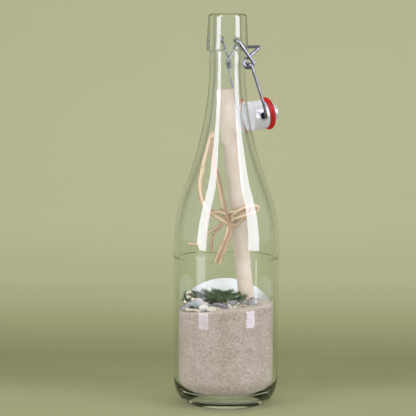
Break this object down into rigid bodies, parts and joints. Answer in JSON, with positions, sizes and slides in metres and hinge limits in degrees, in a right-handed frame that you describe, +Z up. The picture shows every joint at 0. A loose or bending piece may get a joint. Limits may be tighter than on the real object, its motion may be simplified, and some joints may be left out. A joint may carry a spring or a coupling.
{
  "type": "swing-top bottle",
  "caption": "Clear swing-top bottle holding a rolled paper message tied with raffia, standing in sand with small shells and an evergreen sprig.",
  "frame": {"origin": "centre of the base, on the surface that the bottle stands on", "axes": "+Z up along the bottle's axis, out of its mouth; the closure turns about an axis along Y and hangs on the +X side"},
  "size_m": [0.0886, 0.0868, 0.32],
  "materials": {
    "clear_glass": "clear, polished, faint green",
    "galvanised_wire": "dull zinc, lightly scratched",
    "white_porcelain": "glossy glaze",
    "red_rubber": "satin",
    "label_paper": "matt, blank",
    "sand": "fine loose grains",
    "moss": "dry and fibrous",
    "evergreen": "waxy needles",
    "scroll_paper": "matt, soft creases",
    "raffia": "dry fibre",
    "raffia_brown": "dry fibre",
    "shell_brown": "worn, banded",
    "shell_beige": "worn",
    "shell_blue_grey": "worn, ribbed",
    "shell_cream": "worn, ribbed",
    "shell_purple": "satin, pearly inside",
    "shell_grey": "worn, ribbed",
    "shell_patterned": "worn, rayed"
  },
  "bodies": {
    "bottle": {"glass_bottle": "clear_glass", "paper_label": "label_paper", "sand_filling": "sand", "moss_tuft": "moss", "evergreen_sprig": "evergreen", "periwinkle_left": "shell_brown", "whelk_left": "shell_brown", "chip_beige_left": "shell_beige", "cockle_blue_grey": "shell_blue_grey", "chip_beige_front": "shell_beige", "cockle_cream_small": "shell_cream", "cockle_cream_large": "shell_cream", "mussel_purple": "shell_purple", "periwinkle_grey": "shell_grey", "chip_white_triangle": "shell_cream", "limpet_patterned": "shell_patterned", "whelk_dark": "shell_brown", "cockle_beige_small": "shell_beige", "cockle_grey_right": "shell_grey"},
    "message": {"paper_scroll": "scroll_paper", "raffia_wrap_lower": "raffia", "raffia_wrap_upper": "raffia", "raffia_knot": "raffia", "raffia_loop_left": "raffia", "raffia_loop_right": "raffia", "raffia_tail_long": "raffia", "raffia_tail_brown": "raffia_brown", "raffia_tail_front": "raffia", "raffia_tail_back": "raffia", "raffia_tail_short": "raffia"},
    "lever": {"lever_wire": "galvanised_wire"},
    "bail": {"bail_wire": "galvanised_wire"},
    "stopper": {"stopper": "white_porcelain", "gasket": "red_rubber"}
  },
  "joints": [
    {"name": "message_lift", "type": "slide", "parent": "bottle", "child": "message", "axis": [0, 0, 1], "range_m": [0, 0.038], "deforming": ["raffia_loop_left", "raffia_loop_right", "raffia_tail_long", "raffia_tail_brown", "raffia_tail_front", "raffia_tail_back", "raffia_tail_short"]},
    {"name": "lever_lift", "type": "hinge", "parent": "bottle", "child": "lever", "pos_m": [0, 0, 0.2984], "axis": [0, -1, 0], "range_deg": [0, 45]},
    {"name": "bail_swing", "type": "hinge", "parent": "lever", "child": "bail", "pos_m": [0.01044, 0, 0.27935], "axis": [0, -1, 0], "range_deg": [0, 112]},
    {"name": "stopper_turn", "type": "hinge", "parent": "bail", "child": "stopper", "pos_m": [0.02791, 0, 0.23745], "axis": [0, -1, 0], "range_deg": [0, 103.3]}
  ],
  "couplings": [
    {"joint": "stopper_turn", "follows": "bail_swing", "ratio": 0.922}
  ]
}
